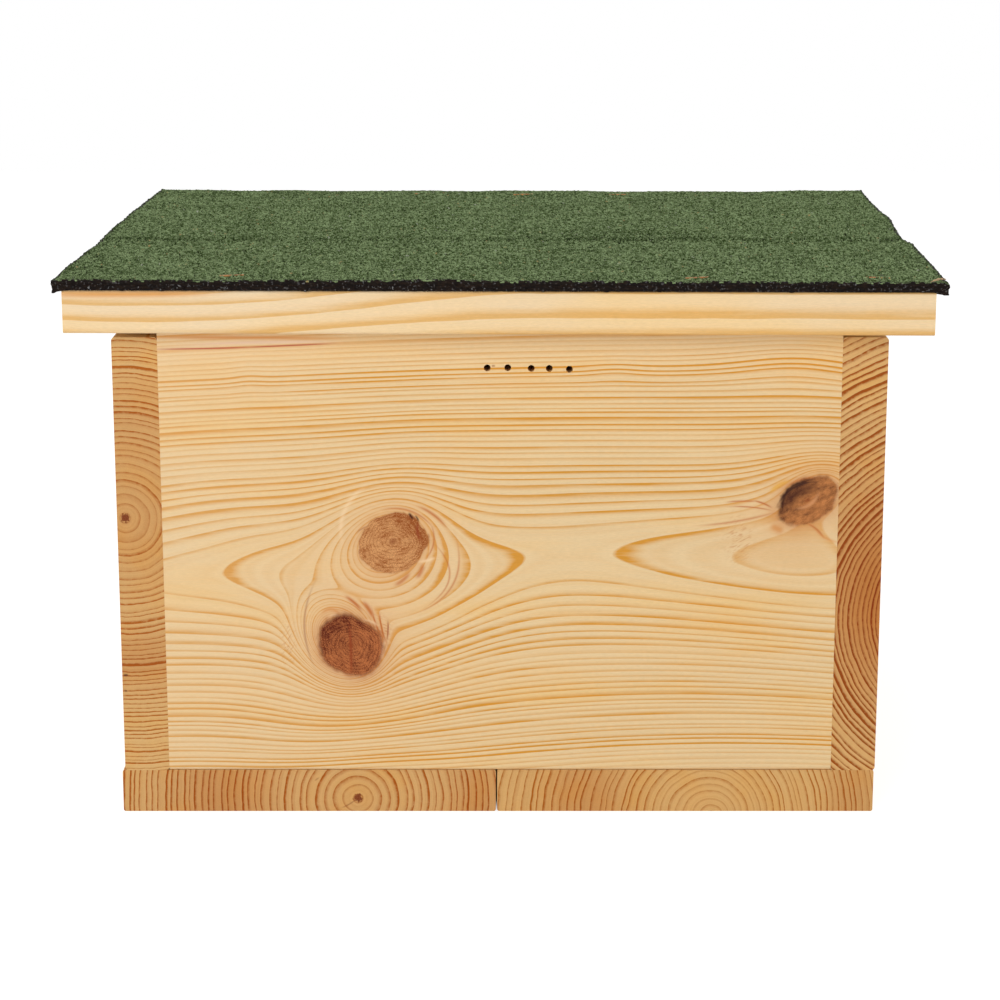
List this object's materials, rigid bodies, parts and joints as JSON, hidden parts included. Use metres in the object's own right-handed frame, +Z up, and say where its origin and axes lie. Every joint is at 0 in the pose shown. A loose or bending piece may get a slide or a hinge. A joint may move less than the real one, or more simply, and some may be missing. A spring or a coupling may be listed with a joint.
{
  "type": "hedgehog house",
  "caption": "Small pine hedgehog house with a planked floor, an arched-corner entrance, an inner partition, vent holes and a loose flat lid under green roofing felt.",
  "frame": {"origin": "on the ground, under the middle of the box, on the underside of the floor", "axes": "+X to the right along the vent wall as it is seen from outside, +Y from the vent wall to the entrance wall, +Z up"},
  "size_m": [0.3924, 0.3471, 0.2459],
  "materials": {
    "pine_board": "planed, untreated",
    "roofing_felt": "crushed green mineral on black bitumen",
    "screw_zinc": "zinc plated",
    "staple_copper": "copper washed"
  },
  "bodies": {
    "house": {"floor_board_left": "pine_board", "floor_board_right": "pine_board", "side_board_left": "pine_board", "side_board_right": "pine_board", "vent_panel": "pine_board", "entrance_panel": "pine_board", "partition_board": "pine_board", "side_screws": "screw_zinc", "floor_screws": "screw_zinc", "partition_screws": "screw_zinc"},
    "lid": {"roof_board_vent_side": "pine_board", "roof_board_entrance_side": "pine_board", "batten_left": "pine_board", "batten_right": "pine_board", "batten_screws": "screw_zinc", "roof_felt": "roofing_felt", "felt_staples": "staple_copper"}
  },
  "joints": [
    {"name": "lid_lift", "type": "slide", "parent": "house", "child": "lid", "axis": [0, 0, 1], "range_m": [0, 0.15]}
  ]
}
